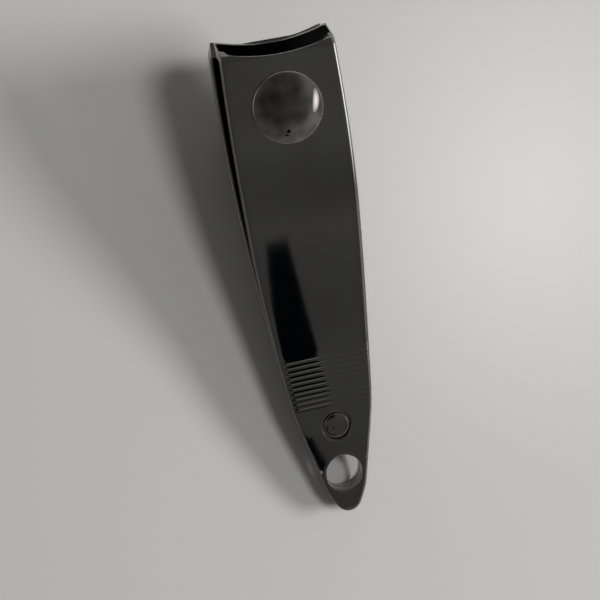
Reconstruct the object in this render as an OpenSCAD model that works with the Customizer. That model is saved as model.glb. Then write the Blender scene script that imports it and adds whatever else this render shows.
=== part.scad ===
// Folding fingernail clipper, lying with its lower jaw upward and its lever stowed beneath.
// Millimetres. Each piece is drawn in a clipper frame: tail tip at x = 0, head toward +X,
// z = 0 between the two tails, lower jaw on the +Z side. place() then tilts the clipper so
// that the lever hump and the tail tip stand on z = 0, and centres its box on the origin.

/* [Jaws] */
// Length from the tail tip to the corners of the cutting edge
overall_l = 58; // [56:0.5:60]
// Largest width of the jaws
body_w = 13.6; // [13:0.1:14.2]
// Thickness of the jaw sheet
sheet_t = 1.4; // [1.3:0.05:1.5]
// Slope at which the jaws part at the end of the tail, degrees
part_angle = 2.2; // [2:0.1:2.6]
// Steepest slope of the jaws, at the middle of their S-curve, degrees
bow_angle = 10.5; // [9.5:0.25:11]
// Slope of the flat head plates, degrees
head_angle = 2.8; // [2:0.2:3.4]
// Half of the mouth gap between the cutting edges
edge_z = 1.4; // [1.3:0.05:1.5]
// Forward lean of the hooked nose, degrees
nose_lean = 20; // [18:1:22]
// Depth of the concave cutting edge
edge_dip = 0.95; // [0.8:0.05:1]

/* [Tail] */
// Diameter of the key ring hole
ring_hole_d = 4.5; // [4.2:0.1:4.6]
// Distance of the key ring hole from the tail tip
ring_hole_x = 5; // [4.8:0.1:5.2]
// Distance of the rivet from the tail tip
rivet_x = 11.1; // [10.8:0.1:11.3]
// Diameter of the flush rivet heads
rivet_head_d = 3.1; // [2.9:0.1:3.2]
// Number of fine cross grooves on the lower jaw
groove_n = 10; // [5:1:10]

/* [Post] */
// Diameter of the domed head
dome_d = 8.2; // [7.8:0.1:8.6]
// Height of the domed head
dome_h = 1.45; // [1.3:0.05:1.6]
// Diameter of the shank
shank_d = 3.2; // [3:0.05:3.25]

/* [Lever] */
// Thickness of the lever sheet
lever_t = 1.2; // [1.1:0.05:1.2]
// Width of the lever at its head
lever_w = 9.6; // [9:0.2:9.6]
// Width of the lever near its free end
lever_end_w = 8; // [7.4:0.2:8.6]
// Distance from the cross pin to the free end
lever_l = 39; // [37:0.5:39.5]

/* [Hidden] */
$fn = 96;
far = 60;
// Curved steps of a strip run on into their neighbours until they have left them by this much
lap = 0.0001;

// Jaw strip: flat tail, small bend, long S-curve, flat head plate, hooked nose
flat_l = 20.4;
bend_r = 3.7;
hinge_x = flat_l + 0.5;
split_gap = 0.12;
steep_x = 36;
plate_x = overall_l - 11;
rise_r = (steep_x - flat_l - bend_r * sin(part_angle)) / (sin(bow_angle) - sin(part_angle));
bow_r = (plate_x - steep_x) / (sin(bow_angle) - sin(head_angle));
plate_z = sheet_t / 2 + bend_r * (1 - cos(part_angle)) + rise_r * (cos(part_angle) - cos(bow_angle))
  + bow_r * (cos(head_angle) - cos(bow_angle));
nose_r = 0.9;
nose_turn = 90 - nose_lean + head_angle;
// The outer face of the nose runs through the corner of the cutting edge, so the plate length follows
nose_cos = cos(nose_lean);
nose_tan = tan(nose_lean);
edge_mid_x = overall_l - sheet_t / 2 / nose_cos;
// Centre line of the nose meets the centre line of the plate at this distance along the plate
corner_x = (edge_mid_x + (edge_z - plate_z + plate_x * tan(head_angle)) * nose_tan)
  / (1 + tan(head_angle) * nose_tan);
corner_l = (corner_x - plate_x) / cos(head_angle);
plate_l = corner_l - nose_r * tan(nose_turn / 2);
nose_l = 6;
jaw_path = [
  [flat_l, 0, 0],
  [0, bend_r, part_angle],
  [0, rise_r, bow_angle - part_angle],
  [0, bow_r, head_angle - bow_angle],
  [plate_l, 0, 0],
  [0, nose_r, -nose_turn],
  [nose_l, 0, 0]
];
edge_c = overall_l - edge_dip;
grind_tilt = 22;
grind_dip = edge_dip * cos(grind_tilt);
grind_r = (pow(6.3, 2) + pow(grind_dip, 2)) / (2 * grind_dip);
bevel_angle = 25;
bevel_land = 0.08;

// Plan outline of both jaws
side_r = 255;
wide_x = 45;
tip_r = 1.6;
tip_n = 8;
shoulder = [3, 2.45];
taper = 0.2345;
tip_far = norm([shoulder[0] - tip_r, shoulder[1]]);
tip_a = atan2(shoulder[1], shoulder[0] - tip_r) + acos(tip_r / tip_far);

// Grooves and rivet
groove_x = 13.9;
groove_pitch = 0.65;
groove_r = 0.5;
groove_depth = 0.06;
rivet_d = 2.4;
rivet_head_h = 0.45;
rivet_ring = 0.18;
slack = 0.02;

// Post axis, square to the lower head plate; z = 0 of the post frame is the seat of the dome
post_x = overall_l - 8.3;
seat_z = plate_z + (post_x - plate_x) * tan(head_angle) + sheet_t / 2 / cos(head_angle);
seat_fit = 0.05;
rim_h = 0.25;
cap_h = dome_h - rim_h;
cap_r = (pow(dome_d / 2, 2) + pow(cap_h, 2)) / (2 * cap_h);
pin_d = 1.1;
pin_fit = 0.03;
pin_l = lever_w - 0.4;
// The cross pin sits this far outside the upper jaw
pin_off = 1.55;
upper_off = seat_z + plate_z + (post_x - plate_x) * tan(head_angle) + sheet_t / 2 / cos(head_angle);
post_l = (upper_off * cos(head_angle) + pin_off) / cos(2 * head_angle);
pin_x = post_x + post_l * sin(head_angle);
pin_z = seat_z - post_l * cos(head_angle);
upper_hole_d = shank_d + 1.1;
upper_hole_x = pin_x - 0.3;

// Lever in its own frame: pin at the origin, x toward the free end, y away from the jaws
lever_angle = 6;
hump_x = 4.42;
hump_y = 1.8;
hump_r = 2.25;
hump_mid = hump_r - lever_t / 2;
hump_far = norm([hump_x, hump_y]);
leg_angle = atan2(hump_y, hump_x) + asin(hump_mid / hump_far);
leg_l = sqrt(pow(hump_far, 2) - pow(hump_mid, 2));
back_angle = 36;
handle_y = 0.75;
back_r = 5;
back_l = (hump_y + hump_mid * cos(back_angle) - back_r * (1 - cos(back_angle)) - handle_y) / sin(back_angle);
handle_x = hump_x + hump_mid * sin(back_angle) + back_l * cos(back_angle) + back_r * sin(back_angle);
knuckle_r = 1;
fork_w = shank_d + 0.3;
fork_r = shank_d / 2 + 0.25;
lever_path = [
  [leg_l, 0, 0],
  [0, hump_mid, -leg_angle - back_angle],
  [back_l, 0, 0],
  [0, back_r, back_angle],
  [lever_l - handle_x, 0, 0]
];
lever_end_r = 3;

// Rest: a line from the tail tip touches the hump, and that line is the table
hump_c = [
  pin_x - hump_x * cos(lever_angle) - hump_y * sin(lever_angle),
  pin_z + hump_x * sin(lever_angle) - hump_y * cos(lever_angle) + sheet_t
];
rest_tilt = atan2(-hump_c[1], hump_c[0]) + asin(hump_r / norm(hump_c));
mid_x = (overall_l * cos(rest_tilt) - 2 * sheet_t * sin(rest_tilt)) / 2;

// ---------- shared shapes ----------

// Moves a piece from the clipper frame to the table
module place() {
  translate([-mid_x, 0, 0])
    rotate([0, -rest_tilt, 0])
      translate([0, 0, sheet_t])
        children();
}

// Moves a piece from the post frame (z along the post, dome on top) to the clipper frame
module on_post() {
  translate([post_x, 0, seat_z])
    rotate([0, -head_angle, 0])
      children();
}

// Moves a piece from the lever frame (x to the free end, z away from the jaws) to the clipper frame
module on_lever() {
  translate([pin_x, 0, pin_z])
    rotate([0, 180 + lever_angle, 0])
      mirror([0, 1, 0])
        children();
}

// One curved step of a strip: a ring sector that starts at the origin heading along +X
module bend_step(r, angle, t) {
  side = sign(angle);
  reach = 2 * (r + t);
  over = sqrt(2 * lap / r) * 180 / PI;
  a1 = abs(angle) + over;
  translate([0, side * r])
    intersection() {
      difference() {
        circle(r = r + t / 2, $fn = r > 50 ? 720 : 96);
        circle(r = r - t / 2, $fn = r > 50 ? 720 : 96);
      }
      polygon([
        [0, 0],
        [-reach * sin(over), -side * reach * cos(over)],
        [reach * sin(a1 / 2), -side * reach * cos(a1 / 2)],
        [reach * sin(a1), -side * reach * cos(a1)]
      ]);
    }
}

// Sheet strip seen on edge. A step is [length, 0, 0] or [0, radius, angle], angle positive to the left
module strip(steps, t, i = 0) {
  if (i < len(steps)) {
    s = steps[i];
    turn = abs(s[2]);
    if (turn > 0) {
      bend_step(s[1], s[2], t);
      translate([s[1] * sin(turn), sign(s[2]) * s[1] * (1 - cos(turn))])
        rotate(s[2])
          strip(steps, t, i + 1);
    }
    else {
      translate([0, -t / 2])
        square([s[0], t]);
      translate([s[0], 0])
        strip(steps, t, i + 1);
    }
  }
}

// Points at the signed distance d from a strip's centre line, positive to its left
function beside(steps, d, x = 0, y = 0, a = 0, i = 0) =
  i == len(steps) ? [[x - d * sin(a), y + d * cos(a)]] :
  let (
    s = steps[i],
    side = sign(s[2]),
    n = side == 0 ? 1 : max(ceil(abs(s[2]) / 5), ceil(s[1] / 12)),
    cx = x - side * s[1] * sin(a),
    cy = y + side * s[1] * cos(a),
    b = a + s[2]
  )
  side == 0
    ? concat([[x - d * sin(a), y + d * cos(a)]], beside(steps, d, x + s[0] * cos(a), y + s[0] * sin(a), a, i + 1))
    : concat(
        [for (j = [0 : n - 1])
          [cx + (side * s[1] - d) * sin(a + s[2] * j / n), cy - (side * s[1] - d) * cos(a + s[2] * j / n)]],
        beside(steps, d, cx + side * s[1] * sin(b), cy - side * s[1] * cos(b), b, i + 1)
      );

function backward(list) = [for (i = [len(list) - 1 : -1 : 0]) list[i]];

// Sets a strip upright across the width
module across(w) {
  rotate([90, 0, 0])
    linear_extrude(height = w, center = true)
      children();
}

module jaw_outline() {
  intersection() {
    translate([wide_x, body_w / 2 - side_r])
      circle(r = side_r, $fn = 720);
    translate([wide_x, side_r - body_w / 2])
      circle(r = side_r, $fn = 720);
    polygon(concat(
      [for (i = [-tip_n : tip_n])
        [tip_r - tip_r * cos((180 - tip_a) * i / tip_n), tip_r * sin((180 - tip_a) * i / tip_n)]],
      [
        shoulder,
        [shoulder[0] + far, shoulder[1] + far * taper],
        [shoulder[0] + far, -shoulder[1] - far * taper],
        [shoulder[0], -shoulder[1]]
      ]
    ));
  }
}

// Hollow-ground nose: trimmed at the edge, ground concave in front and bevelled behind
module nose_grind() {
  translate([overall_l - 6, -far / 2, -10])
    cube([far, far, 10 + edge_z]);
  translate([edge_c, 0, edge_z])
    rotate([0, -grind_tilt, 0])
      translate([grind_r, 0, -3])
        cylinder(r = grind_r, h = 12, $fn = 180);
  translate([edge_c + grind_r * cos(grind_tilt), 0, edge_z])
    rotate_extrude($fn = 180)
      translate([grind_r * cos(grind_tilt) + bevel_land, 0])
        polygon([
          [0, 0],
          [3.5, 3.5 * tan(bevel_angle)],
          [3.5, -1],
          [0, -1]
        ]);
}

// One jaw leaf without its holes, on the +Z side
module jaw_leaf() {
  difference() {
    intersection() {
      across(2 * body_w)
        translate([0, sheet_t / 2])
          polygon(concat(beside(jaw_path, -sheet_t / 2), backward(beside(jaw_path, sheet_t / 2))));
      linear_extrude(height = far, center = true)
        jaw_outline();
    }
    nose_grind();
  }
}

// Key ring hole, rivet hole and the countersunk ring for the rivet head
module tail_holes() {
  translate([ring_hole_x, 0, -1])
    cylinder(d = ring_hole_d, h = sheet_t + 2);
  translate([rivet_x, 0, -1])
    cylinder(d = rivet_d + 2 * slack, h = sheet_t + 2);
  translate([rivet_x, 0, sheet_t - rivet_head_h])
    cylinder(d = rivet_head_d + 2 * rivet_ring, h = 1);
}

// ---------- pieces ----------

module lower_jaw() {
  color("#2b2b2d")
    place()
      difference() {
        jaw_leaf();
        tail_holes();
        on_post()
          translate([0, 0, -far / 2])
            cylinder(d = shank_d + 2 * seat_fit, h = far);
        for (i = [0 : groove_n - 1])
          translate([groove_x + i * groove_pitch, 0, sheet_t + groove_r - groove_depth])
            rotate([90, 0, 0])
              cylinder(r = groove_r, h = far, center = true);
      }
}

module upper_jaw_tail() {
  color("#2b2b2d")
    place()
      mirror([0, 0, 1])
        difference() {
          jaw_leaf();
          tail_holes();
          translate([hinge_x - split_gap / 2, -far / 2, -far / 2])
            cube([2 * far, far, far]);
        }
}

module upper_jaw() {
  color("#2b2b2d")
    place()
      difference() {
        mirror([0, 0, 1])
          difference() {
            jaw_leaf();
            translate([hinge_x + split_gap / 2 - 2 * far, -far / 2, -far / 2])
              cube([2 * far, far, far]);
          }
        translate([upper_hole_x, 0, -far / 2])
          cylinder(d = upper_hole_d, h = far / 2);
      }
}

module tail_rivet() {
  color("#333336")
    place() {
      translate([rivet_x, 0, -sheet_t])
        cylinder(d = rivet_d, h = 2 * sheet_t);
      for (m = [0, 1])
        mirror([0, 0, m])
          translate([rivet_x, 0, sheet_t - rivet_head_h + slack])
            cylinder(d = rivet_head_d, h = rivet_head_h - slack);
    }
}

module post() {
  color("#3a3a3e")
    place()
      on_post()
        difference() {
          union() {
            translate([0, 0, slack])
              cylinder(d = dome_d, h = rim_h);
            intersection() {
              translate([0, 0, dome_h - cap_r + slack])
                sphere(r = cap_r);
              translate([0, 0, rim_h])
                cylinder(d = dome_d, h = dome_h);
            }
            translate([0, 0, -post_l])
              cylinder(d = shank_d, h = post_l + rim_h);
            translate([0, 0, -post_l])
              sphere(d = shank_d);
          }
          translate([0, 0, -post_l])
            rotate([90, 0, 0])
              cylinder(d = pin_d + 2 * pin_fit, h = far, center = true);
        }
}

module cross_pin() {
  color("#46464a")
    place()
      translate([pin_x, 0, pin_z])
        rotate([90, 0, 0])
          cylinder(d = pin_d, h = pin_l, center = true);
}

module lever_outline() {
  intersection() {
    polygon([
      [-3, lever_w / 2],
      [handle_x, lever_w / 2],
      [lever_l, lever_end_w / 2],
      [lever_l, -lever_end_w / 2],
      [handle_x, -lever_w / 2],
      [-3, -lever_w / 2]
    ]);
    union() {
      translate([-3, -lever_w])
        square([lever_l + 3 - lever_end_r, 2 * lever_w]);
      for (s = [-1, 1])
        translate([lever_l - lever_end_r, s * (lever_end_w / 2 - lever_end_r)])
          circle(r = lever_end_r);
      translate([lever_l - lever_end_r - 1, lever_end_r - lever_end_w / 2])
        square([lever_end_r + 1, lever_end_w - 2 * lever_end_r]);
    }
  }
}

module lever() {
  color("#2b2b2d")
    place()
      on_lever()
        difference() {
          intersection() {
            across(2 * lever_w) {
              rotate(leg_angle)
                strip(lever_path, lever_t);
              circle(r = knuckle_r);
            }
            linear_extrude(height = far, center = true)
              lever_outline();
          }
          translate([-10, -fork_w / 2, -10])
            cube([10, fork_w, 20]);
          across(fork_w)
            circle(r = fork_r);
          translate([0, -fork_w / 2, 0])
            cube([fork_r, fork_w, 20]);
          rotate([90, 0, 0])
            cylinder(d = pin_d + 2 * pin_fit, h = far, center = true);
        }
}

lower_jaw();
upper_jaw_tail();
upper_jaw();
tail_rivet();
post();
cross_pin();
lever();
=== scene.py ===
"""Looks of a folding fingernail clipper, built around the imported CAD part.

Each visible piece is meshed here from the part's own dimensions. Lengths are in millimetres in
the clipper frame of the CAD source (tail tip at x = 0, head toward +X, lower jaw on +Z), and
seat() moves them to the row frame in metres.
"""

import math

import bmesh
import bpy
import numpy as np
from mathutils import Matrix, Vector
from mathutils.geometry import delaunay_2d_cdt


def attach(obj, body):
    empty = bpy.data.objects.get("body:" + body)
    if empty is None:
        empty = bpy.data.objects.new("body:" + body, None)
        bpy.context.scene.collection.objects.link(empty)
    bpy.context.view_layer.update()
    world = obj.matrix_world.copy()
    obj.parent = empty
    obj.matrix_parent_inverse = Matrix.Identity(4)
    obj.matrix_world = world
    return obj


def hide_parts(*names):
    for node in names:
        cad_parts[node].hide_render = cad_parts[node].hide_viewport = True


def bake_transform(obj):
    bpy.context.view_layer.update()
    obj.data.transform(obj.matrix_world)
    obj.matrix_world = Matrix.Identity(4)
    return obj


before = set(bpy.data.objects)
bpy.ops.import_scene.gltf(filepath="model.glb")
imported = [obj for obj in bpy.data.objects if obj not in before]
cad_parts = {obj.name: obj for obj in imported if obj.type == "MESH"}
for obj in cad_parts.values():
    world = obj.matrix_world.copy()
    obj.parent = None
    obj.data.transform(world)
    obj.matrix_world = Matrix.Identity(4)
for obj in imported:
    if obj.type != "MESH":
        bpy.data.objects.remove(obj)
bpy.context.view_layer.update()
MM = 0.001

# ---------------------------------------------------------------- dimensions
OVERALL_L, BODY_W, SHEET_T = 58.0, 13.6, 1.4
PART_A, BOW_A, HEAD_A = (math.radians(a) for a in (2.2, 10.5, 2.8))
FLAT_L, BEND_R, STEEP_X = 20.4, 3.7, 36.0
PLATE_X = OVERALL_L - 11
RISE_R = (STEEP_X - FLAT_L - BEND_R * math.sin(PART_A)) / (math.sin(BOW_A) - math.sin(PART_A))
BOW_R = (PLATE_X - STEEP_X) / (math.sin(BOW_A) - math.sin(HEAD_A))
NOSE_LEAN, NOSE_R, EDGE_Z, EDGE_DIP = math.radians(20), 0.9, 1.4, 0.95
NOSE_TURN = math.radians(90) - NOSE_LEAN + HEAD_A
PLATE_Z = (SHEET_T / 2 + BEND_R * (1 - math.cos(PART_A))
           + RISE_R * (math.cos(PART_A) - math.cos(BOW_A))
           + BOW_R * (math.cos(HEAD_A) - math.cos(BOW_A)))
CORNER_X = ((OVERALL_L - SHEET_T / 2 / math.cos(NOSE_LEAN)
             + (EDGE_Z - PLATE_Z + PLATE_X * math.tan(HEAD_A)) * math.tan(NOSE_LEAN))
            / (1 + math.tan(HEAD_A) * math.tan(NOSE_LEAN)))
PLATE_L = (CORNER_X - PLATE_X) / math.cos(HEAD_A) - NOSE_R * math.tan(NOSE_TURN / 2)
EDGE_C, GRIND_TILT = OVERALL_L - EDGE_DIP, math.radians(22)
GRIND_DIP = EDGE_DIP * math.cos(GRIND_TILT)
NOSE_HALF_W = 6.3
GRIND_R = (NOSE_HALF_W ** 2 + GRIND_DIP ** 2) / (2 * GRIND_DIP)
BEVEL_A, LAND = math.radians(25), 0.08
RING_HOLE_X, RING_HOLE_R = 5.0, 2.25
RIVET_X, RIVET_R, HEAD_R, HEAD_H, RING_GAP, SLACK = 11.1, 1.2, 1.52, 0.45, 0.25, 0.02
GROOVE_N, GROOVE_X, GROOVE_PITCH, GROOVE_DEPTH = 10, 13.9, 0.65, 0.06
POST_X, DOME_R, DOME_H, RIM_H, SHANK_R = OVERALL_L - 8.3, 4.1, 1.45, 0.25, 1.6
SEAT_Z = PLATE_Z + (POST_X - PLATE_X) * math.tan(HEAD_A) + SHEET_T / 2 / math.cos(HEAD_A)
PIN_R, PIN_FIT, LEVER_W, LEVER_END_W, LEVER_T, LEVER_L = 0.55, 0.03, 9.6, 8.0, 1.2, 39.0
UPPER_OFF = 2 * SEAT_Z
POST_L = (UPPER_OFF * math.cos(HEAD_A) + 1.55) / math.cos(2 * HEAD_A)
PIN_X, PIN_Z = POST_X + POST_L * math.sin(HEAD_A), SEAT_Z - POST_L * math.cos(HEAD_A)
LEVER_A = math.radians(6)
HUMP_X, HUMP_Y, HUMP_R, BACK_A, HANDLE_Y, BACK_R = 4.42, 1.8, 2.25, math.radians(36), 0.75, 5.0
HUMP_MID = HUMP_R - LEVER_T / 2
HUMP_FAR = math.hypot(HUMP_X, HUMP_Y)
LEG_A = math.atan2(HUMP_Y, HUMP_X) + math.asin(HUMP_MID / HUMP_FAR)
LEG_L = math.sqrt(HUMP_FAR ** 2 - HUMP_MID ** 2)
BACK_L = ((HUMP_Y + HUMP_MID * math.cos(BACK_A) - BACK_R * (1 - math.cos(BACK_A)) - HANDLE_Y)
          / math.sin(BACK_A))
HANDLE_X = (HUMP_X + HUMP_MID * math.sin(BACK_A) + BACK_L * math.cos(BACK_A)
            + BACK_R * math.sin(BACK_A))
FORK_W, KNUCKLE_R, END_R = 3.5, 1.0, 3.0
HUMP_CX = PIN_X - HUMP_X * math.cos(LEVER_A) - HUMP_Y * math.sin(LEVER_A)
HUMP_CZ = PIN_Z + HUMP_X * math.sin(LEVER_A) - HUMP_Y * math.cos(LEVER_A) + SHEET_T
REST_A = math.atan2(-HUMP_CZ, HUMP_CX) + math.asin(HUMP_R / math.hypot(HUMP_CX, HUMP_CZ))
MID_X = (OVERALL_L * math.cos(REST_A) - 2 * SHEET_T * math.sin(REST_A)) / 2
WIDEST_X, SIDE_R = 45, 255
TIP_R, TAPER_X, TAPER_Y, TAPER_RATE = 1.6, 3.0, 2.45, 0.2345

# A sheet's edge: corner radius, facet and the line where its roll ends, as insets in mm
JAW_ROUND, JAW_FACET, JAW_BAND = 0.1, 0.42, 0.98
LEVER_ROUND, LEVER_FACET, LEVER_BAND = 0.1, 0.22, 0.5


# ---------------------------------------------------------------- frames
def seat(p):
    """Points of the clipper frame (mm) in the row frame (m)."""
    p = np.asarray(p, float)
    x, y, z = p[..., 0], p[..., 1], p[..., 2] + SHEET_T
    c, s = math.cos(REST_A), math.sin(REST_A)
    return np.stack([x * c - z * s - MID_X, y, x * s + z * c], -1) * MM


def from_post(p):
    """Points of the post frame (z along the post, dome on top) in the clipper frame."""
    p = np.asarray(p, float)
    c, s = math.cos(HEAD_A), math.sin(HEAD_A)
    return np.stack([POST_X + p[..., 0] * c - p[..., 2] * s, p[..., 1],
                     SEAT_Z + p[..., 0] * s + p[..., 2] * c], -1)


def from_lever(p):
    """Points of the lever frame (x to its free end, z away from the jaws) in the clipper frame."""
    p = np.asarray(p, float)
    c, s = math.cos(LEVER_A), math.sin(LEVER_A)
    return np.stack([PIN_X - p[..., 0] * c - p[..., 2] * s, p[..., 1],
                     PIN_Z + p[..., 0] * s - p[..., 2] * c], -1)


def path_table(steps, x=0.0, z=0.0, a=0.0, n=400):
    """Centre line of a strip as arrays s, x, z, angle. A step is (length, 0) or (radius, turn)."""
    rows, s = [(0.0, x, z, a)], 0.0
    for size, turn in steps:
        run = abs(turn) * size if turn else size
        for i in range(1, n + 1):
            f = i / n
            if turn:
                side = math.copysign(1, turn)
                b = a + turn * f
                rows.append((s + run * f, x + side * size * (math.sin(b) - math.sin(a)),
                             z - side * size * (math.cos(b) - math.cos(a)), b))
            else:
                rows.append((s + run * f, x + run * f * math.cos(a), z + run * f * math.sin(a), a))
        s, x, z, a = rows[-1]
    return np.array(rows).T


JAW = path_table([(FLAT_L, 0), (BEND_R, PART_A), (RISE_R, BOW_A - PART_A),
                  (BOW_R, HEAD_A - BOW_A), (PLATE_L, 0), (NOSE_R, -NOSE_TURN), (6.0, 0)],
                 z=SHEET_T / 2)
NOSE_S = (FLAT_L + BEND_R * PART_A + RISE_R * (BOW_A - PART_A) + BOW_R * (BOW_A - HEAD_A)
          + PLATE_L)
LEVER = path_table([(LEG_L, 0), (HUMP_MID, -LEG_A - BACK_A), (BACK_L, 0), (BACK_R, BACK_A),
                    (LEVER_L - HANDLE_X, 0)], a=LEG_A)


def on_path(table, s, n):
    """x and z of points at path length s and height n, with the path's angle."""
    x, z, a = (np.interp(s, table[0], table[i]) for i in (1, 2, 3))
    under = np.minimum(s - table[0][0], 0)
    return x + under * np.cos(a) - n * np.sin(a), z + under * np.sin(a) + n * np.cos(a), a


# ---------------------------------------------------------------- plan outlines
def smooth_closed(points, step, sigma):
    """A closed outline resampled at about that step, with its corners softened."""
    p = np.vstack([points, points[:1]])
    run = np.concatenate([[0], np.cumsum(np.hypot(*np.diff(p, axis=0).T))])
    n = int(round(run[-1] / step))
    t = np.arange(n) * run[-1] / n
    q = np.stack([np.interp(t, run, p[:, k]) for k in (0, 1)], 1)
    reach = int(4 * sigma / step) + 1
    w = np.exp(-0.5 * (np.arange(-reach, reach + 1) * step / sigma) ** 2)
    w /= w.sum()
    return sum(np.roll(q, reach - i, axis=0) * w[i] for i in range(2 * reach + 1))


def jaw_half_width(x):
    """Half width of the jaws at x, with the arcs and the tapered tail flowing together."""
    arc = BODY_W / 2 - (np.asarray(x, float) - WIDEST_X) ** 2 / (2 * SIDE_R)
    taper = TAPER_Y + TAPER_RATE * (x - TAPER_X)
    soft, mid = 0.06, 5
    return -soft * np.log(np.exp(-(arc - mid) / soft) + np.exp(-(taper - mid) / soft)) + mid


def tail_outline():
    """Half outline from the tip to x = 6, with a round tip."""
    far = math.hypot(TAPER_X - TIP_R, TAPER_Y)
    top = math.atan2(TAPER_Y, TAPER_X - TIP_R) + math.acos(TIP_R / far)
    a = np.linspace(math.pi, top, 40)
    arc = np.stack([TIP_R + TIP_R * np.cos(a), TIP_R * np.sin(a)], 1)
    x = np.linspace(TAPER_X, 6, 30)
    return np.vstack([arc, np.stack([x, jaw_half_width(x)], 1)])


TAIL_CURVE = tail_outline()
FRONT_S = NOSE_S + NOSE_R * NOSE_TURN + 1.2


def jaw_plan():
    """Closed plan outline of a jaw in (path length, y), counter-clockwise."""
    s = np.linspace(6.1, FRONT_S, 700)
    x = np.interp(s, JAW[0], JAW[1])
    half = np.vstack([TAIL_CURVE, np.stack([s, jaw_half_width(x)], 1)])
    full = np.vstack([half[::-1], half[1:] * [1, -1]])
    soft = smooth_closed(full, 0.16, 0.5)
    # the straight front is put back, because the smoothing rounded its two corners
    soft = soft[soft[:, 0] < FRONT_S - 1.6]
    first = np.argmax(np.hypot(*(soft - np.roll(soft, 1, axis=0)).T))
    soft = np.roll(soft, -first, axis=0)
    if soft[0, 1] < 0:
        raise SystemExit("the outline should start on the +Y side")
    sf = np.linspace(soft[:, 0].max() + 0.2, FRONT_S, 12)
    wf = jaw_half_width(np.interp(sf, JAW[0], JAW[1]))
    right = np.stack([sf, -wf], 1)
    yf = np.linspace(-wf[-1], wf[-1], 53)[1:-1]
    front = np.stack([np.full(len(yf), FRONT_S), yf], 1)
    left = np.stack([sf[::-1], wf[::-1]], 1)
    return np.vstack([soft, right, front, left])


def offset_normals(p):
    """Unit normals that point into a counter-clockwise outline."""
    t = np.roll(p, -1, axis=0) - np.roll(p, 1, axis=0)
    t /= np.hypot(*t.T)[:, None]
    return np.stack([-t[:, 1], t[:, 0]], 1)


def circle(cx, cy, r, n):
    a = 2 * math.pi * np.arange(n) / n
    return np.stack([cx + r * np.cos(a), cy + r * np.sin(a)], 1)


def inside(poly, pts):
    """Which points lie inside a closed polygon."""
    x, y = pts[:, 0], pts[:, 1]
    hit = np.zeros(len(pts), bool)
    for (x0, y0), (x1, y1) in zip(poly, np.roll(poly, -1, axis=0)):
        if y0 != y1:
            hit ^= ((y0 > y) != (y1 > y)) & (x < (x1 - x0) * (y - y0) / (y1 - y0) + x0)
    return hit


def distance_to(poly, pts):
    """Distance of points to the nearest vertex of a dense outline."""
    return np.min(np.hypot(pts[:, None, 0] - poly[None, :, 0], pts[:, None, 1] - poly[None, :, 1]),
                  axis=1)


# ---------------------------------------------------------------- sheet pieces
class Sheet:
    """A closed sheet in plan, built of outline rings, an inner triangulation and hole walls."""

    def __init__(self, t):
        self.t, self.v, self.f, self.rim = t, [], [], []

    def ring(self, pts, n, rim):
        """Adds one ring of vertices at height n and returns their numbers."""
        base = sum(len(a) for a in self.v)
        n = np.broadcast_to(np.asarray(n, float), (len(pts),))
        self.v.append(np.column_stack([pts, n]))
        self.rim.append(np.broadcast_to(np.asarray(rim, float), (len(pts),)))
        return np.arange(base, base + len(pts))

    def band(self, a, b):
        """Quads between two closed rings of the same count, a outside or below b."""
        for i in range(len(a)):
            j = (i + 1) % len(a)
            self.f.append((a[i], a[j], b[j], b[i]))

    def face(self, rings, lattice, up):
        """Triangulates between an outer ring and hole rings, with lattice points inside."""
        pts = [self.at(r)[:, :2] for r in rings]
        outer, holes = pts[0], pts[1:]
        gap = 0.14
        keep = inside(outer, lattice)
        lattice = lattice[keep]
        lattice = lattice[distance_to(outer, lattice) > gap]
        for h in holes:
            mid = h.mean(0)
            lattice = lattice[np.hypot(*(lattice - mid).T) > np.hypot(*(h[0] - mid)) + gap]
        xy = np.vstack(pts + [lattice])
        edges, base = [], 0
        for p in pts:
            edges += [(base + i, base + (i + 1) % len(p)) for i in range(len(p))]
            base += len(p)
        out, _, tris, _, _, _ = delaunay_2d_cdt([Vector(p) for p in xy], edges, [], 0, 1e-7)
        out = np.array([tuple(p) for p in out])
        ids = np.full(len(out), -1)
        known = np.concatenate(rings)
        ids[:len(known)] = known
        if len(out) != len(xy):
            raise SystemExit(f"the triangulation made {len(out)} points of {len(xy)}")
        ids[len(known):] = self.ring(lattice, up * self.t / 2, 0.0)
        tri = np.array(tris)
        mid = out[tri].mean(1)
        good = inside(outer, mid)
        for h in holes:
            good &= ~inside(h, mid)
        a, b, c = (out[tri[:, k]] for k in (0, 1, 2))
        turn = (b[:, 0] - a[:, 0]) * (c[:, 1] - a[:, 1]) - (b[:, 1] - a[:, 1]) * (c[:, 0] - a[:, 0])
        for k in np.nonzero(good)[0]:
            order = tri[k] if (turn[k] > 0) == (up > 0) else tri[k][::-1]
            self.f.append(tuple(int(ids[i]) for i in order))

    def at(self, ids):
        return np.vstack(self.v)[ids]


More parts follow.
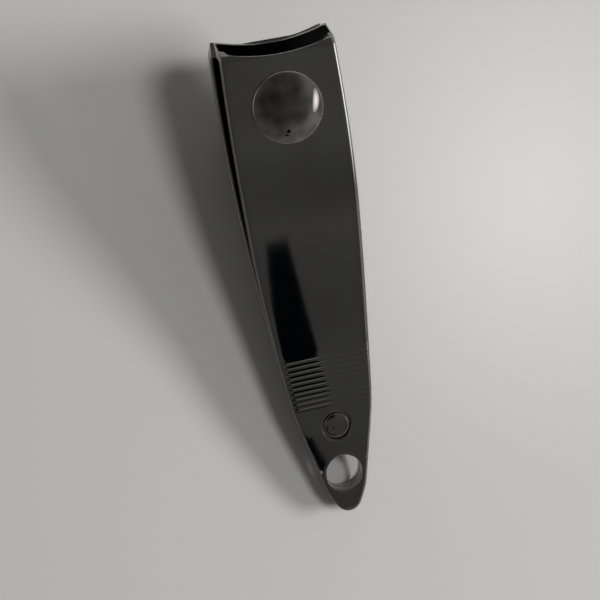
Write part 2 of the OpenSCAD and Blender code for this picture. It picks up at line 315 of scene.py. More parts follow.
def side_profile(t, round_r, facet, band, slopes=(29, 17), roll=4.0):
    """(inset, height, wear) of one half of a sheet's edge, from mid thickness to its flat face.

    A round corner, a polished facet whose slope eases from slopes[0] to slopes[1] degrees, then a
    faint roll that ends at the inset line of the band."""
    rows = [(band, 0.0, 0.0)]
    inset, fall = band, 0.0
    n = 6
    for i in range(1, n + 1):
        step = (band - facet) / n
        inset -= step
        fall += step * math.tan(math.radians(roll * (0.25 + 0.75 * i / n)))
        rows.append((inset, fall, 0.1 * i / n))
    for i in range(n):
        step = (facet - round_r) / n
        a = slopes[1] + (slopes[0] - slopes[1]) * (i + 0.5) / n
        inset -= step
        fall += step * math.tan(math.radians(a))
        rows.append((inset, fall, 0.1 + 0.4 * (i + 1) / n))
    steep = math.radians(slopes[0])
    radius = round_r / (1 - math.sin(steep))
    for i in range(1, 6):
        a = steep + (math.pi / 2 - steep) * i / 5
        d = round_r - radius * (math.sin(a) - math.sin(steep))
        rows.append((max(d, 0.0), fall + radius * (math.cos(steep) - math.cos(a)), 1.0))
    rows.append((0.0, t / 2, 1.0))
    return [(d, t / 2 - f, w) for d, f, w in rows[::-1]]


def edged_sheet(plan, t, profile, facet, scale, band_scale, holes, lattice, front_s=None):
    """Outline rings on both faces and the side, then each face with its holes.

    scale and band_scale size the edge and its roll at each outline point. A hole is (centre x, y,
    [(radius, height, wear), ...] from the top face down to the bottom, points). With a straight
    front at front_s, the insets beside it go straight across."""
    sh = Sheet(t)
    inward = offset_normals(plan)
    if front_s is not None:
        side = (plan[:, 0] > front_s - 1.5) & (plan[:, 0] < front_s - 1e-6)
        inward[side] = np.stack([np.zeros(side.sum()), -np.sign(plan[side, 1])], 1)

    def rim(row, up):
        d, n, w = row
        extra = max(0.0, d - facet)
        inset = scale * (min(d, facet) + extra * band_scale)
        h = t / 2 - (t / 2 - n) * scale if n > 0 else np.zeros(len(plan))
        return sh.ring(plan + inward * inset[:, None], up * h, w)

    start = rim(profile[0], 1)
    ends = {}
    for up in (1, -1):
        last = start
        for row in profile[1:]:
            ring = rim(row, up)
            if up > 0:
                sh.band(last, ring)
            else:
                sh.band(ring, last)
            last = ring
        ends[up] = last
    hole_ends = {1: [], -1: []}
    for cx, cy, rows, count in holes:
        rings = [sh.ring(circle(cx, cy, r, count), n, w) for r, n, w in rows]
        for a, b in zip(rings, rings[1:]):
            sh.band(a, b)
        hole_ends[1].append(rings[0])
        hole_ends[-1].append(rings[-1])
    for up in (1, -1):
        sh.face([ends[up]] + hole_ends[up], lattice, up)
    return sh


def hole_rows(r_top, r_bottom, t, edge, step_at=None):
    """Rows of a hole wall from the top face down, with softened edges and an optional step."""
    rows = []
    for a in (0, 30, 60, 90):
        k = math.radians(a)
        rows.append((r_top + edge * (1 - math.sin(k)), t / 2 - edge * (1 - math.cos(k)), 0.8))
    if step_at is not None:
        rows += [(r_top, step_at + 0.05, 0.3), (r_top - 0.05, step_at, 0.2),
                 (r_bottom + 0.02, step_at, 0.2), (r_bottom, step_at - 0.02, 0.2)]
    else:
        rows.append((r_top, 0, 0.3))
    for a in (90, 60, 30, 0):
        k = math.radians(a)
        rows.append((r_bottom + edge * (1 - math.sin(k)), -t / 2 + edge * (1 - math.cos(k)), 0.8))
    return rows


# ---------------------------------------------------------------- mesh helpers
def make_object(name, verts, faces, mat, rim=None, sharp=32):
    """A smooth-shaded mesh object. verts are in the row frame in metres."""
    me = bpy.data.meshes.new(name)
    me.from_pydata([tuple(map(float, p)) for p in verts], [], [tuple(map(int, f)) for f in faces])
    me.validate()
    if rim is not None:
        att = me.attributes.new("rim", "FLOAT", "POINT")
        att.data.foreach_set("value", np.asarray(rim, np.float32))
    bm = bmesh.new()
    bm.from_mesh(me)
    bmesh.ops.recalc_face_normals(bm, faces=bm.faces)
    bm.to_mesh(me)
    bm.free()
    me.shade_smooth()
    me.set_sharp_from_angle(angle=math.radians(sharp))
    me.materials.append(mat)
    ob = bpy.data.objects.new(name, me)
    bpy.context.scene.collection.objects.link(ob)
    return ob


def lathe(profile, count=96):
    """Closed solid of revolution about z. profile is a list of (radius, z, wear), axis to axis."""
    verts, wear, faces, rings = [], [], [], []
    for r, z, w in profile:
        base = len(verts)
        if r < 1e-9:
            verts.append((0, 0, z))
            wear.append(w)
            rings.append([base])
            continue
        for i in range(count):
            a = 2 * math.pi * i / count
            verts.append((r * math.cos(a), r * math.sin(a), z))
            wear.append(w)
        rings.append(list(range(base, base + count)))
    for a, b in zip(rings, rings[1:]):
        for i in range(count):
            j = (i + 1) % count
            if len(a) == 1:
                faces.append((a[0], b[i], b[j]))
            elif len(b) == 1:
                faces.append((a[i], a[j], b[0]))
            else:
                faces.append((a[i], a[j], b[j], b[i]))
    return np.array(verts, float), faces, wear


# ---------------------------------------------------------------- materials
WEAR_AND_HIGHLIGHT_GAIN = 1.45        # how much lighter rubbed metal and the painted crease highlight are


def metal(name, tone, rough, scratch=0.5, mottled=0.0):
    """Polished black nickel: dark mirror, faint haze, fine scratches, lighter rubbed edges and
    painted crease highlights.
    """
    m = bpy.data.materials.new(name)
    m.use_nodes = True
    nt = m.node_tree
    nodes, link = nt.nodes, nt.links.new
    bsdf = nodes["Principled BSDF"]
    bsdf.inputs["Metallic"].default_value = 1.0
    bsdf.inputs["IOR"].default_value = 1.9
    tex = nodes.new("ShaderNodeTexCoord")

    def noise(scale, detail, stretch=(1, 1, 1), distortion=0.0):
        mp = nodes.new("ShaderNodeMapping")
        mp.inputs["Scale"].default_value = stretch
        link(tex.outputs["Object"], mp.inputs["Vector"])
        n = nodes.new("ShaderNodeTexNoise")
        n.inputs["Scale"].default_value = scale
        n.inputs["Detail"].default_value = detail
        n.inputs["Distortion"].default_value = distortion
        link(mp.outputs["Vector"], n.inputs["Vector"])
        return n.outputs["Fac"]

    def remap(value, a, b, c, d):
        r = nodes.new("ShaderNodeMapRange")
        for k, x in zip(("From Min", "From Max", "To Min", "To Max"), (a, b, c, d)):
            r.inputs[k].default_value = x
        link(value, r.inputs["Value"])
        return r.outputs["Result"]

    def math_node(op, a, b):
        n = nodes.new("ShaderNodeMath")
        n.operation = op
        for k, x in ((0, a), (1, b)):
            if isinstance(x, (int, float)):
                n.inputs[k].default_value = x
            else:
                link(x, n.inputs[k])
        return n.outputs["Value"]

    haze = noise(90, 4)
    grain = noise(2600, 3)
    marks = noise(420, 2, (1, 9, 9), 0.6)
    hair = noise(700, 1, (0.35, 6, 6), 0.3)
    rim = nodes.new("ShaderNodeAttribute")
    rim.attribute_name = "rim"
    # the rim attribute carries real edge wear and, on the jaws, a painted highlight along the nose
    # crease
    wear_and_highlight = math_node("MULTIPLY", rim.outputs["Fac"], remap(noise(800, 3), 0.42, 0.68, 0.15, 1.0))
    mix = nodes.new("ShaderNodeMix")
    mix.data_type = "RGBA"
    mix.inputs["A"].default_value = (*tone, 1)
    mix.inputs["B"].default_value = (*[min(1, c * WEAR_AND_HIGHLIGHT_GAIN) for c in tone], 1)
    link(remap(wear_and_highlight, 0.0, 1.0, 0.0, 0.6), mix.inputs["Factor"])
    tint = nodes.new("ShaderNodeMix")
    tint.data_type = "RGBA"
    tint.blend_type = "MULTIPLY"
    tint.inputs["B"].default_value = (0.80, 0.79, 0.76, 1)
    link(mix.outputs["Result"], tint.inputs["A"])
    link(remap(haze, 0.3, 0.7, 0.0, 1.0), tint.inputs["Factor"])
    link(tint.outputs["Result"], bsdf.inputs["Base Color"])
    scratches = remap(marks, 0.68, 0.74, 0.0, 0.10 * scratch)
    base = math_node("ADD", remap(haze, 0.3, 0.75, rough * 0.75, rough * 1.35), scratches)
    base = math_node("ADD", base, remap(wear_and_highlight, 0.0, 1.0, 0.0, 0.09))
    link(base, bsdf.inputs["Roughness"])
    height = math_node("ADD", math_node("MULTIPLY", haze, 0.35 + mottled),
                       math_node("MULTIPLY", grain, 0.012 + 0.04 * mottled))
    height = math_node("SUBTRACT", height, math_node("MULTIPLY", remap(hair, 0.7, 0.76, 0, 1),
                                                      0.02 * scratch))
    height = math_node("ADD", height, math_node("MULTIPLY", wear_and_highlight, 0.03))
    bump = nodes.new("ShaderNodeBump")
    bump.inputs["Strength"].default_value = 0.35
    bump.inputs["Distance"].default_value = 0.00004
    link(height, bump.inputs["Height"])
    link(bump.outputs["Normal"], bsdf.inputs["Normal"])
    return m


SHEET_TONE = (0.30, 0.297, 0.285)
NICKEL = metal("black_nickel_jaws", SHEET_TONE, 0.06)
NICKEL_LEVER = metal("black_nickel_lever", SHEET_TONE, 0.065, 0.7)
NICKEL_POST = metal("black_nickel_post", (0.235, 0.222, 0.212), 0.045, 0.4)

# painted dark reflection: the hollow-ground nose face gets a near-black colour and a dulled specular
# tint, so it stays dark at a grazing angle too
NICKEL_GROUND_PAINTED_DARK = metal("black_nickel_ground_painted_dark_reflection", (0.045, 0.045, 0.046), 0.12, 1.6)
NICKEL_GROUND_PAINTED_DARK.node_tree.nodes["Principled BSDF"].inputs["Specular Tint"].default_value = (
    0.25, 0.25, 0.25, 1)

NICKEL_RIVET = metal("black_nickel_rivet", (0.31, 0.306, 0.295), 0.09, 1.0, 0.8)


# ---------------------------------------------------------------- jaws
def jaw_lattice():
    """Inner points of a jaw's faces: finer at the grooves and at the nose."""
    cuts = [0.4]
    while cuts[-1] < FRONT_S:
        s = cuts[-1]
        grooved = GROOVE_X - 0.4 < s < GROOVE_X + (GROOVE_N - 1) * GROOVE_PITCH + 0.4
        step = 0.05 if grooved else 0.07 if s > NOSE_S - 0.5 else 0.4
        cuts.append(s + step)
    rows = []
    for s in cuts:
        fine = s > NOSE_S - 0.5
        n = 41 if fine else 27
        w = float(jaw_half_width(np.interp(s, JAW[0], JAW[1]))) if s > 1.5 else 1.5
        y = np.linspace(-1, 1, n) * (w - 0.5)
        rows.append(np.stack([np.full(n, s), y], 1))
    return np.vstack(rows)


def grind_x(y, z):
    """x of the concave ground face in front of the jaw."""
    g = GRIND_R - np.sqrt(GRIND_R ** 2 - np.minimum(np.abs(y), 8) ** 2)
    return EDGE_C + (g - (z - EDGE_Z) * math.sin(GRIND_TILT)) / math.cos(GRIND_TILT)


def floor_z(x, y):
    """Height that the nose ends at: the cutting edge, its narrow land and the bevel behind."""
    land = grind_x(y, np.full_like(y, EDGE_Z)) - LAND
    return EDGE_Z + np.maximum(0, land - x) * math.tan(BEVEL_A)


def shape_jaw(plan_pts, groove_share):
    """Maps flat jaw points (s, y, n) to the clipper frame: S-curve, nose, hollow grind, bevel."""
    s, y, n = plan_pts.T.copy()
    # fine grooves pressed into the outer face, deeper toward the +Y side
    grooves = GROOVE_X + GROOVE_PITCH * np.arange(GROOVE_N)
    off = np.min(np.abs(s[:, None] - grooves[None, :]), axis=1)
    near_left = np.clip((y + 1.2) / 2.2, 0, 1)
    depth = 0.8 * GROOVE_DEPTH * np.exp(-(off / 0.1) ** 2) * (0.12 + 0.88 * near_left)
    n = np.where(n > 0, n - groove_share * depth * np.clip(n / (SHEET_T / 2), 0, 1), n)
    # the nose's last stretch is set so that each point of the front ends on the floor
    a0 = NOSE_S + 0.55 * NOSE_R * NOSE_TURN
    lo, hi = np.full_like(s, a0), np.full_like(s, NOSE_S + NOSE_R * NOSE_TURN + 5)
    for _ in range(40):
        mid = (lo + hi) / 2
        x, z, _a = on_path(JAW, mid, n)
        x = np.where(n > 0, np.minimum(x, grind_x(y, z)), x)
        above = z > floor_z(x, y)
        lo, hi = np.where(above, mid, lo), np.where(above, hi, mid)
    end = (lo + hi) / 2
    s2 = np.where(s > a0, a0 + (s - a0) * (end - a0) / (FRONT_S - a0), s)
    x, z, _a = on_path(JAW, s2, n)
    g = grind_x(y, z)
    soft = 0.05
    clamped = g - soft * np.log1p(np.exp(np.clip((g - x) / soft, -60, 60)))
    lean = np.clip((n / (SHEET_T / 2) - 0.1) / 0.3, 0, 1) * (s > NOSE_S - 1.5)
    x = x + (np.minimum(clamped, x) - x) * lean
    return np.stack([x, y, z], 1)


def build_jaw(name, lower):
    """One jaw leaf. The upper one is the lower one turned over, without grooves."""
    plan = jaw_plan()
    x = np.interp(plan[:, 0], JAW[0], JAW[1])
    front = plan[:, 0] > FRONT_S - 1e-6
    # side edges are rounded, and grow sharp toward the cutting edge
    scale = np.clip((FRONT_S - plan[:, 0]) / 1.4, 0, 1) ** 0.7
    scale = np.where(front, 0.0, 0.06 + 0.94 * scale)
    scale[np.nonzero(front)[0][[0, -1]]] = 0.0
    width = np.clip((x - 7.5) / 9, 0.06, 1)
    scale = scale * np.clip(0.55 + 0.45 * (x - 8) / 14, 0.55, 1)
    # the +Y edge kept a crisper corner than the polished -Y edge
    left = np.clip((plan[:, 1] + 1.5) / 3, 0, 1)
    scale = scale * (1 - 0.45 * left)
    width = width * (1 + 0.5 * left)
    profile = side_profile(SHEET_T, JAW_ROUND, JAW_FACET, JAW_BAND)
    head_s = float(np.interp(POST_X, JAW[1], JAW[0]))
    hole_s = head_s + (-0.03 if lower else 0.19)
    post_hole = SHANK_R + 0.05 if lower else (2 * SHANK_R + 1.1) / 2
    holes = [
        (RING_HOLE_X, 0, hole_rows(RING_HOLE_R, RING_HOLE_R, SHEET_T, 0.1), 72),
        (RIVET_X, 0, hole_rows(HEAD_R + RING_GAP, RIVET_R + SLACK, SHEET_T, 0.05,
                               SHEET_T / 2 - HEAD_H), 64),
        (hole_s, 0, hole_rows(post_hole, post_hole, SHEET_T, 0.08), 64),
    ]
    sh = edged_sheet(plan, SHEET_T, profile, JAW_FACET, scale, width, holes, jaw_lattice(),
                     FRONT_S)
    pts = shape_jaw(np.vstack(sh.v), 1.0 if lower else 0.0)
    faces = sh.f
    if not lower:
        pts = pts * [1, 1, -1]
        faces = [f[::-1] for f in faces]
    rim = np.concatenate(sh.rim)
    flat = np.vstack(sh.v)
    x, y, z = pts[:, 0], pts[:, 1], np.abs(pts[:, 2])
    ground = (np.abs(x - grind_x(y, z)) < 0.05) & (flat[:, 2] > 0.2) & (flat[:, 0] > NOSE_S - 1)
    high = z - EDGE_Z
    crease = np.clip(1 - np.abs(high - np.max(high[ground])) / 0.2, 0, 1) * ground
    # painted highlight: the crease at the top of the ground face is lightened through the rim
    # attribute, as if rubbed
    rim = np.maximum(rim, np.clip(crease, 0, 1))
    # painted shade: faces under this mask take the near-black material, a dark reflection painted
    # into their colour
    shade = ground * np.clip((high - 0.28) / 0.08, 0, 1) * (1 - np.clip(crease * 1.5, 0, 1))
    ob = make_object(name, seat(pts), faces, NICKEL, rim, sharp=34)
    ob.data.materials.append(NICKEL_GROUND_PAINTED_DARK)
    for poly in ob.data.polygons:
        if min(shade[v] for v in poly.vertices) > 0.4:
            poly.material_index = 1
    return ob


lower_jaw = build_jaw("lower_jaw_leaf", True)
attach(lower_jaw, "lower_leaf")
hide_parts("lower_jaw")

upper_jaw = build_jaw("upper_jaw_leaf", False)
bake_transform(upper_jaw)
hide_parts("upper_jaw_tail", "upper_jaw")


# ---------------------------------------------------------------- rivet
def build_rivet():
    """Flush spun head at each end of the shank, a little crowned, with one shallow nick."""
    half = []
    top = SHEET_T
    for r, z in ((0, 0.012), (0.5, 0.010), (0.95, 0.004), (1.2, -0.006), (1.36, -0.022)):
        half.append((r, top - 0.012 + z, 0.25))
    for a in (20, 45, 70, 90):
        k = math.radians(a)
        half.append((HEAD_R - 0.1 * (1 - math.sin(k)), top - 0.14 + 0.1 * math.cos(k), 0.9))
    bottom = top - HEAD_H + SLACK
    half += [(HEAD_R, bottom + 0.03, 0.4), (HEAD_R - 0.03, bottom, 0.3), (RIVET_R, bottom, 0.2)]
    profile = half + [(r, -z, w) for r, z, w in half[::-1]]
    verts, faces, wear = lathe(profile, 96)
    nick_at = np.array([-0.43, 0.66])
    nick_turn = np.array([[0.77, -0.64], [0.64, 0.77]])
    nick_l, nick_w, nick_depth = 0.36, 0.17, 0.1
    d = (verts[:, :2] - nick_at) @ nick_turn
    nick = np.exp(-(d[:, 0] / nick_l) ** 2 - (d[:, 1] / nick_w) ** 2)
    for side in (1, -1):
        verts[:, 2] -= side * nick_depth * nick * (verts[:, 2] * side > top - 0.2)
    verts[:, 0] += RIVET_X
    return make_object("tail_rivet_heads", seat(verts), faces, NICKEL_RIVET, wear, sharp=40)


rivet = build_rivet()
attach(rivet, "lower_leaf")
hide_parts("tail_rivet")


# ---------------------------------------------------------------- post and pin
def bored(ob, centre, radius):
    """Cuts a round bore along Y through an object at a point of the clipper frame."""
    bm = bmesh.new()
    bmesh.ops.create_cone(bm, cap_ends=True, segments=48, radius1=radius * MM, radius2=radius * MM,
                          depth=0.03)
    bmesh.ops.rotate(bm, verts=bm.verts, matrix=Matrix.Rotation(math.pi / 2, 3, "X"))
    bmesh.ops.translate(bm, verts=bm.verts, vec=Vector(seat(centre)))
    me = bpy.data.meshes.new("bore_tool")
    bm.to_mesh(me)
    bm.free()
    tool = bpy.data.objects.new("bore_tool", me)
    bpy.context.scene.collection.objects.link(tool)
    mod = ob.modifiers.new("bore", "BOOLEAN")
    mod.operation, mod.solver, mod.object = "DIFFERENCE", "EXACT", tool
    bpy.context.view_layer.update()
    new = bpy.data.meshes.new_from_object(ob.evaluated_get(bpy.context.evaluated_depsgraph_get()))
    ob.modifiers.clear()
    ob.data = new
    new.set_sharp_from_angle(angle=math.radians(34))
    bpy.data.objects.remove(tool)


def build_post():
    """Domed head, round shank and a rounded end with the pin's bore."""
    cap_h = DOME_H - RIM_H
    cap_r = (DOME_R ** 2 + cap_h ** 2) / (2 * cap_h)
    profile = [(0, DOME_H + SLACK, 0.0)]
    top_a = math.asin((DOME_R - 0.12) / cap_r)
    for i in range(1, 29):
        a = top_a * i / 28
        profile.append((cap_r * math.sin(a), DOME_H + SLACK - cap_r * (1 - math.cos(a)), 0.0))
    edge_z = RIM_H + SLACK
    profile += [(DOME_R - 0.045, edge_z - 0.005, 0.6), (DOME_R - 0.008, edge_z - 0.06, 0.9),
                (DOME_R, edge_z - 0.13, 0.7), (DOME_R - 0.02, SLACK + 0.05, 0.5),
                (DOME_R - 0.08, SLACK, 0.4), (SHANK_R + 0.1, SLACK, 0.0), (SHANK_R, SLACK - 0.08, 0)]
    profile += [(SHANK_R, -POST_L * f, 0.0) for f in (0.3, 0.6, 0.8, 0.9, 1.0)]
    for i in range(1, 17):
        a = math.pi / 2 * i / 16
        r = SHANK_R * math.cos(a)
        profile.append((0 if i == 16 else r, -POST_L - SHANK_R * math.sin(a), 0.2))
    verts, faces, wear = lathe(profile, 128)
    ob = make_object("post_dome", seat(from_post(verts)), faces, NICKEL_POST, wear, sharp=40)
    bored(ob, (PIN_X, 0, PIN_Z), PIN_R + PIN_FIT)
    return ob


post = build_post()
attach(post, "post")
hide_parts("post")


def build_pin():
    """Cross pin along Y with softened ends."""
    half = (LEVER_W - 0.4) / 2
    profile = [(0, half, 0.5), (0.3, half - 0.01, 0.5), (PIN_R - 0.14, half - 0.03, 0.8),
               (PIN_R - 0.04, half - 0.1, 0.9), (PIN_R, half - 0.2, 0.5), (PIN_R, half * 0.5, 0.1)]
    profile += [(r, -z, w) for r, z, w in profile[::-1]]
    verts, faces, wear = lathe(profile, 48)
    verts = np.stack([verts[:, 0] + PIN_X, -verts[:, 2], verts[:, 1] + PIN_Z], 1)
    return make_object("cross_pin_rod", seat(verts), faces, NICKEL_POST, wear, sharp=50)


pin = build_pin()
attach(pin, "pin")
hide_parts("cross_pin")


# ---------------------------------------------------------------- lever
HEAD_S = -KNUCKLE_R
SLOT_S = 2.8        # clears the shank when the lever is folded right over
END_S = float(LEVER[0][-1])


def lever_plan():
    """Closed plan outline of the lever in (path length, y), with its fork slot at the head."""
    w0, w1 = LEVER_W / 2, LEVER_END_W / 2

    def half(x):
        return w0 + (w1 - w0) * np.clip((x - HANDLE_X) / (LEVER_L - HANDLE_X), 0, 1)

    s = np.linspace(0.8, END_S - END_R, 160)
    x = np.interp(s, LEVER[0], LEVER[1])
    a = np.radians(np.linspace(90, 0, 24))
    side = np.stack([s, half(x)], 1)
    corner = np.stack([END_S - END_R + END_R * np.sin(math.pi / 2 - a),
                       w1 - END_R + END_R * np.sin(a)], 1)
    start = np.array([[HEAD_S, w0]])
    top = np.vstack([start, side, corner])
    bottom = top[::-1] * [1, -1]
    slot = np.array([[HEAD_S, -FORK_W / 2], [SLOT_S, -FORK_W / 2], [SLOT_S, FORK_W / 2],
                     [HEAD_S, FORK_W / 2]])
    full = np.vstack([bottom, slot, top])
    return smooth_closed(full[::-1], 0.14, 0.26)


def build_lever():
    """Forked, humped head that curls round the pin, and a long flat handle."""
    plan = lever_plan()
    profile = side_profile(LEVER_T, LEVER_ROUND, LEVER_FACET, LEVER_BAND, roll=2.0)
    cuts = [HEAD_S + 0.3]
    while cuts[-1] < END_S - 0.3:
        cuts.append(cuts[-1] + (0.16 if cuts[-1] < 10 else 0.4))
    cols = np.linspace(-4.45, 4.45, 29)
    lattice = np.array([(s, y) for s in cuts for y in cols])
    band = np.clip((plan[:, 0] - 2.5) / 4, 0.05, 1)
    band *= np.clip((END_S - plan[:, 0] + 0.6) / 4, 0.3, 1)
    sh = edged_sheet(plan, LEVER_T, profile, LEVER_FACET, np.ones(len(plan)), band, [], lattice)
    flat = np.vstack(sh.v)
    s, y, h = flat.T
    # the ears curl into a round knuckle about the pin: their thickness grows from 1.2 to 2 mm
    grow = 1 + (2 * KNUCKLE_R / LEVER_T - 1) * np.clip(1 - np.maximum(s, 0) / 1.5, 0, 1) ** 1.5
    round_off = np.sqrt(np.clip(1 - (np.minimum(s, 0) / KNUCKLE_R) ** 2, 0.0, 1))
    h = h * grow * np.where(s < 0, np.maximum(round_off, 0.02), 1)
    x, z, _a = on_path(LEVER, s, h)
    ob = make_object("lever_handle", seat(from_lever(np.stack([x, y, z], 1))), sh.f, NICKEL_LEVER,
                     np.concatenate(sh.rim), sharp=34)
    bored(ob, (PIN_X, 0, PIN_Z), PIN_R + PIN_FIT)
    return ob


lever = build_lever()
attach(lever, "lever")
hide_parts("lever")


# ---------------------------------------------------------------- camera, floor and light
scene = bpy.context.scene
scene.view_settings.view_transform = "Standard"
SENSOR_W, LENS = 36, 80.62
CAMERA_AT = Vector((5.01, 27.84, 162.71)) * MM
CAMERA_BACK = Vector((0.0450, 0.1654, 0.9852))
CAMERA_UP = Vector((0.9787, -0.2051, -0.0103))
HEAD_SPOT = (0.01, 0.0, 0.01)
WARM_WHITE = (1.0, 0.985, 0.96)
WINDOW_AT, WINDOW_SIZE, WINDOW_W = (-0.09, -0.54, 0.30), (0.30, 0.13), 3.5
OVERHEAD_AT, OVERHEAD_AIM, OVERHEAD_W = (0.018, -0.235, 0.58), (0.005, -0.01, 0), 1.35
GLOW_AT, GLOW_AIM, GLOW_W, GLOW_SPREAD = (0.03, -0.13, 0.5), (0.005, -0.030, 0), 4.0, 5.6
FAR_PANE_AT = (0.16, 0.62, 0.25)
CARD_Z = 0.040


def add(ob):
    """Puts an object in the scene."""
    scene.collection.objects.link(ob)
    return ob


def aimed(ob, at, aim):
    """Places an object and turns its -Z toward a point."""
    ob.location = at
    ob.rotation_euler = (Vector(aim) - Vector(at)).to_track_quat("-Z", "Y").to_euler()
    return ob


def build_camera():
    """Camera at the photograph's angle, with the clipper's head at the top of the picture."""
    data = bpy.data.cameras.new("camera")
    data.sensor_width = SENSOR_W
    data.lens = LENS
    data.clip_start, data.clip_end = 0.01, 10
    ob = add(bpy.data.objects.new("camera", data))
    back = CAMERA_BACK.normalized()
    right = CAMERA_UP.cross(back).normalized()
    place = Matrix.Identity(4)
    for i, axis in enumerate((right, back.cross(right), back)):
        for k in range(3):
            place[k][i] = axis[k]
    place.translation = CAMERA_AT
    ob.matrix_world = place
    return ob


def plain(name, colour, rough):
    """A plain material for the stage."""
    m = bpy.data.materials.new(name)
    m.use_nodes = True
    b = m.node_tree.nodes["Principled BSDF"]
    b.inputs["Base Color"].default_value = (*colour, 1)
    b.inputs["Roughness"].default_value = rough
    return m


def stage_mesh(name, corners, mat):
    """A flat stage piece with one face."""
    me = bpy.data.meshes.new(name)
    me.from_pydata(corners, [], [tuple(range(len(corners)))])
    me.materials.append(mat)
    ob = add(bpy.data.objects.new(name, me))
    return ob


def only_reflected(ob):
    """Leaves an object visible to reflections alone."""
    ob.visible_camera = ob.visible_diffuse = ob.visible_shadow = False


def soft_light(name, at, aim, size, watts, colour=(1, 1, 1)):
    """An oval area light that reflections don't see."""
    data = bpy.data.lights.new(name, "AREA")
    data.shape = "ELLIPSE"
    data.size, data.size_y = size
    data.energy = watts
    data.color = colour
    ob = aimed(add(bpy.data.objects.new(name, data)), at, aim)
    ob.visible_glossy = False


def floor_glow():
    """The faint bright spot on the floor beside the clipper's right edge."""
    data = bpy.data.lights.new("floor_glow", "SPOT")
    data.energy, data.spot_size, data.spot_blend = GLOW_W, math.radians(GLOW_SPREAD), 1.0
    data.shadow_soft_size = 0.02
    ob = aimed(add(bpy.data.objects.new("floor_glow", data)), GLOW_AT, GLOW_AIM)
    ob.visible_glossy = False


def pane(name, at, aim, radii, strength):
    """An oval light panel that only reflections see, fading softly towards its rim."""
    mat = plain(name, (0, 0, 0), 0.5)
    tree = mat.node_tree
    bsdf = tree.nodes["Principled BSDF"]
    bsdf.inputs["Emission Strength"].default_value = strength
    coords = tree.nodes.new("ShaderNodeTexCoord")
    fit = tree.nodes.new("ShaderNodeMapping")
    fit.inputs["Scale"].default_value = (1 / radii[0], 1 / radii[1], 0)
    fade = tree.nodes.new("ShaderNodeTexGradient")
    fade.gradient_type = "SPHERICAL"
    tone = tree.nodes.new("ShaderNodeValToRGB")
    tone.color_ramp.elements[0].color = (0.03, 0.0296, 0.029, 1)
    tone.color_ramp.elements[1].position = 0.75
    tone.color_ramp.elements[1].color = (*WARM_WHITE, 1)
    for a, b in ((coords.outputs["Object"], fit.inputs["Vector"]),
                 (fit.outputs["Vector"], fade.inputs["Vector"]),
                 (fade.outputs["Color"], tone.inputs["Fac"]),
                 (tone.outputs["Color"], bsdf.inputs["Emission Color"])):
        tree.links.new(a, b)
    turns = [2 * math.pi * i / 48 for i in range(48)]
    corners = [(radii[0] * math.cos(a), radii[1] * math.sin(a), 0) for a in turns]
    only_reflected(aimed(stage_mesh(name, corners, mat), at, aim))


def dark_cards():
    """Cards that only reflections see. They give the plate its deep blue-black patches.

    One is for the middle of its left edge, the other for beside the key ring hole."""
    dark = plain("stage_dark", (0.004, 0.006, 0.012), 0.9)
    dark.node_tree.nodes["Principled BSDF"].inputs["Specular IOR Level"].default_value = 0
    middle = [(-0.020, -0.001), (-0.020, -0.0042), (-0.0315, -0.0068), (-0.0315, 0.0008)]
    tail = [(-0.0378, 0.003), (-0.0383, -0.0030), (-0.0446, -0.0052), (-0.0480, 0.003)]
    for name, corners in (("stage_dark_card", middle), ("stage_tail_card", tail)):
        only_reflected(stage_mesh(name, [(x, y, CARD_Z) for x, y in corners], dark))


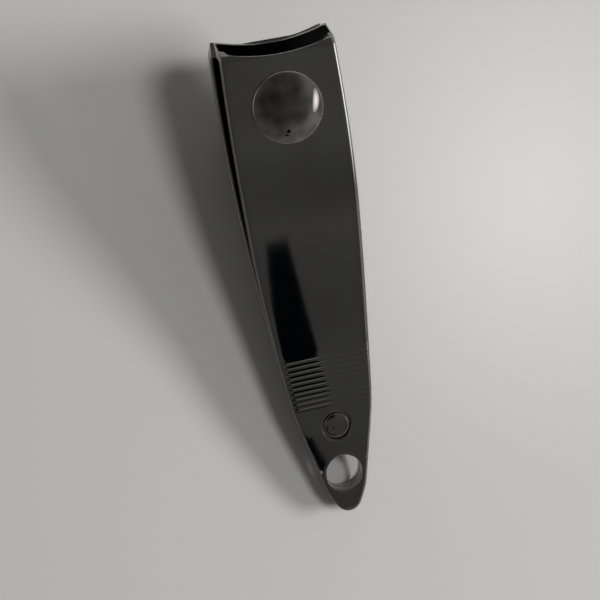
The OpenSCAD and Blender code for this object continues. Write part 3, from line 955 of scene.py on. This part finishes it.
def build_world():
    """A dim room: light near the floor, dark above, brighter on the window's side, a bit patchy."""
    world = bpy.data.worlds.new("studio")
    scene.world = world
    world.use_nodes = True
    nodes, link = world.node_tree.nodes, world.node_tree.links.new
    look = nodes.new("ShaderNodeTexCoord").outputs["Generated"]

    def remap(value, from_min, from_max, to_min, to_max):
        r = nodes.new("ShaderNodeMapRange")
        for key, x in (("From Min", from_min), ("From Max", from_max),
                       ("To Min", to_min), ("To Max", to_max)):
            r.inputs[key].default_value = x
        link(value, r.inputs["Value"])
        return r.outputs["Result"]

    height = nodes.new("ShaderNodeSeparateXYZ")
    link(look, height.inputs["Vector"])
    ramp = nodes.new("ShaderNodeValToRGB")
    low, high = ramp.color_ramp.elements
    low.position, low.color = 0.0, (0.46, 0.46, 0.455, 1)
    high.position, high.color = 1.0, (0.092, 0.092, 0.089, 1)
    for at, tone in ((0.5, 0.30), (0.8, 0.125), (0.92, 0.105)):
        stop = ramp.color_ramp.elements.new(at)
        stop.color = (tone, tone, tone * 0.98, 1)
    link(height.outputs["Z"], ramp.inputs["Fac"])
    lit = nodes.new("ShaderNodeVectorMath")
    lit.operation = "DOT_PRODUCT"
    lit.inputs[1].default_value = (0.5, -0.8, 0)
    link(look, lit.inputs[0])
    room = nodes.new("ShaderNodeTexNoise")
    room.inputs["Scale"].default_value = 2.0
    room.inputs["Detail"].default_value = 1.0
    link(look, room.inputs["Vector"])
    both = nodes.new("ShaderNodeMath")
    both.operation = "MULTIPLY"
    link(remap(lit.outputs["Value"], -0.8, 0.8, 0.45, 1.25), both.inputs[0])
    link(remap(room.outputs["Fac"], 0.35, 0.65, 0.65, 1.35), both.inputs[1])
    toned = nodes.new("ShaderNodeVectorMath")
    toned.operation = "SCALE"
    link(ramp.outputs["Color"], toned.inputs[0])
    link(both.outputs["Value"], toned.inputs["Scale"])
    link(toned.outputs["Vector"], nodes["Background"].inputs["Color"])
    nodes["Background"].inputs["Strength"].default_value = 1.0


scene.camera = build_camera()
stage_mesh("stage_floor", [(-3, -3, 0), (3, -3, 0), (3, 3, 0), (-3, 3, 0)],
           plain("stage_floor", (0.55, 0.545, 0.53), 0.45))
soft_light("window_light", WINDOW_AT, HEAD_SPOT, WINDOW_SIZE, WINDOW_W, WARM_WHITE)
soft_light("overhead_light", OVERHEAD_AT, OVERHEAD_AIM, (0.16, 0.16), OVERHEAD_W)
floor_glow()
# the window as reflections see it, and a long low panel across the room from it
pane("stage_pane", WINDOW_AT, HEAD_SPOT, (0.22, 0.085), 3.6)
pane("stage_far_pane", FAR_PANE_AT, HEAD_SPOT, (0.42, 0.09), 1.6)
dark_cards()
build_world()
